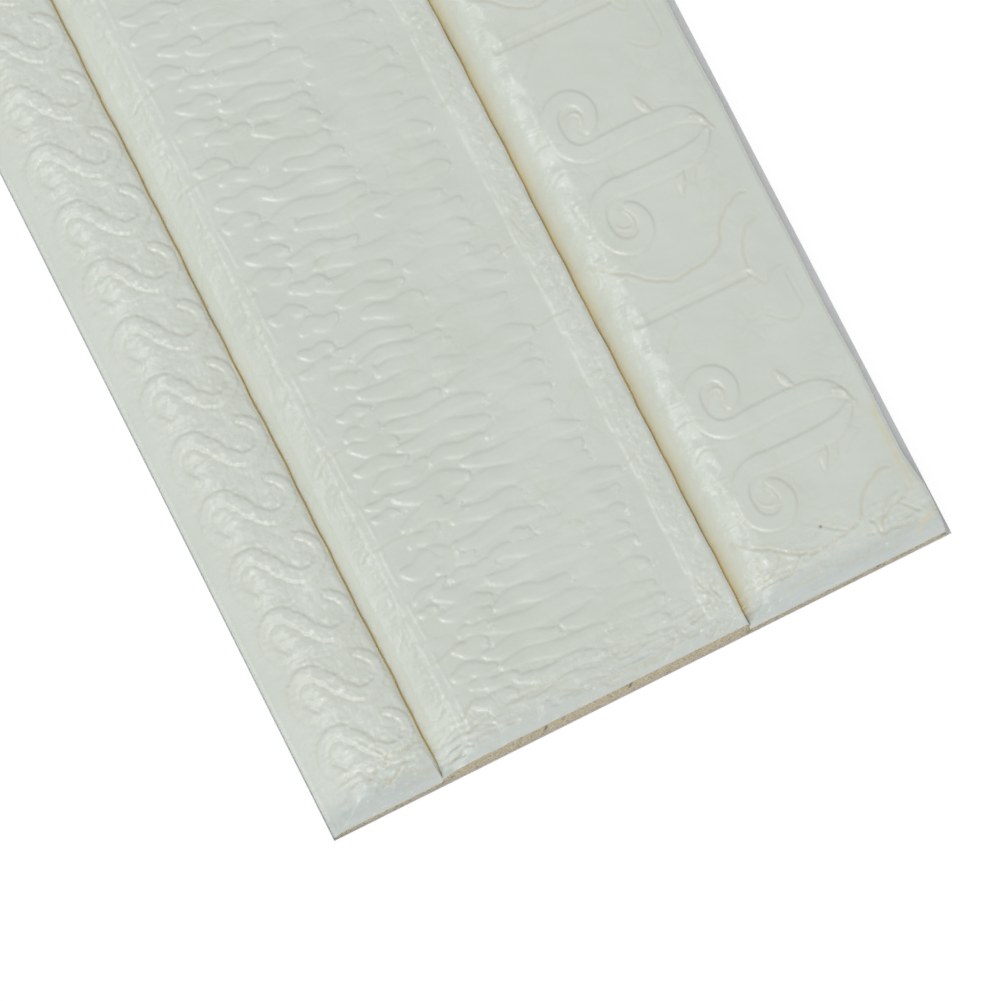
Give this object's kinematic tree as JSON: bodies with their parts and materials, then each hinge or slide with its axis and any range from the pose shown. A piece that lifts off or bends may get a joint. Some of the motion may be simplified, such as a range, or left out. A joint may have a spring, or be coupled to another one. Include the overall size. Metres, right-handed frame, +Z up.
{
  "type": "foam skirting trim",
  "caption": "Self-adhesive embossed foam skirting strip: three crowned bands parted by two deep grooves, on its peel-off backing sheet.",
  "frame": {"origin": "middle of the underside, on the face of the backing sheet", "axes": "+X along the strip, +Y across it towards the broad scroll band, +Z up out of the embossed face"},
  "size_m": [2.3, 0.08, 0.0062],
  "materials": {
    "foam_skin": "satin film on closed-cell foam, pale grey-green white, embossed and finely creased",
    "release_paper": "smooth grey release paper"
  },
  "bodies": {
    "root": {"foam_trim": "foam_skin", "backing_sheet": "release_paper"}
  },
  "joints": []
}
